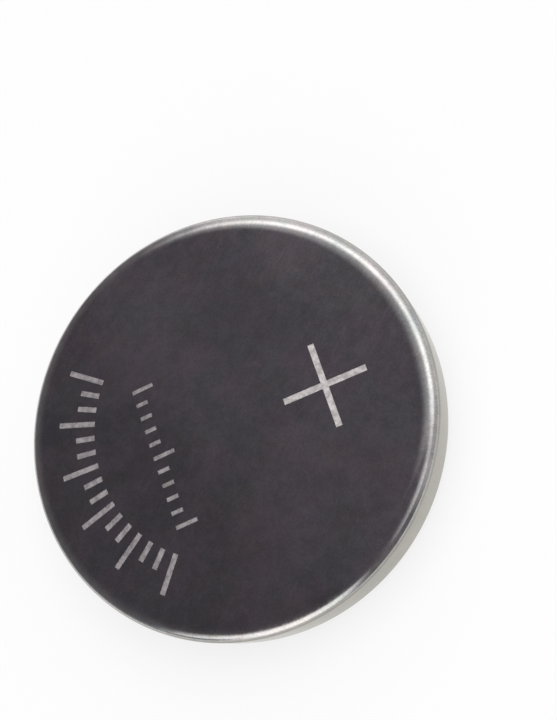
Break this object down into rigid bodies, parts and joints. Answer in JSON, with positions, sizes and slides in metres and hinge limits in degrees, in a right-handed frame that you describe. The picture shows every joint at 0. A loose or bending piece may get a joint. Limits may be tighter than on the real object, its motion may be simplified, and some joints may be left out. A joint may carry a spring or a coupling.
{
  "type": "lithium coin cell",
  "caption": "Round coin cell: a drawn steel can crimped over a polymer seal and a stepped steel cap, with its electrode stack inside.",
  "frame": {"origin": "centre of the negative contact face, which is the bottom of the cell as it lies", "axes": "+Z along the cell's axis, out of the positive contact face; X and Y are free, because the cell is round"},
  "size_m": [0.02, 0.02, 0.0032],
  "materials": {
    "can_steel": "nickel-plated stainless steel, fine satin",
    "cap_steel": "nickel-plated stainless steel, fine satin",
    "seal": "natural polypropylene, moulded and squeezed",
    "lithium": "soft rolled foil, dull",
    "felt": "nonwoven fibre, wetted",
    "cathode": "pressed powder, matt black",
    "ring_steel": "bare stainless steel"
  },
  "bodies": {
    "root": {"positive_can": "can_steel", "negative_cap": "cap_steel", "gasket": "seal", "lithium_anode": "lithium", "separator": "felt", "cathode_pellet": "cathode", "collector_ring": "ring_steel"}
  },
  "joints": []
}
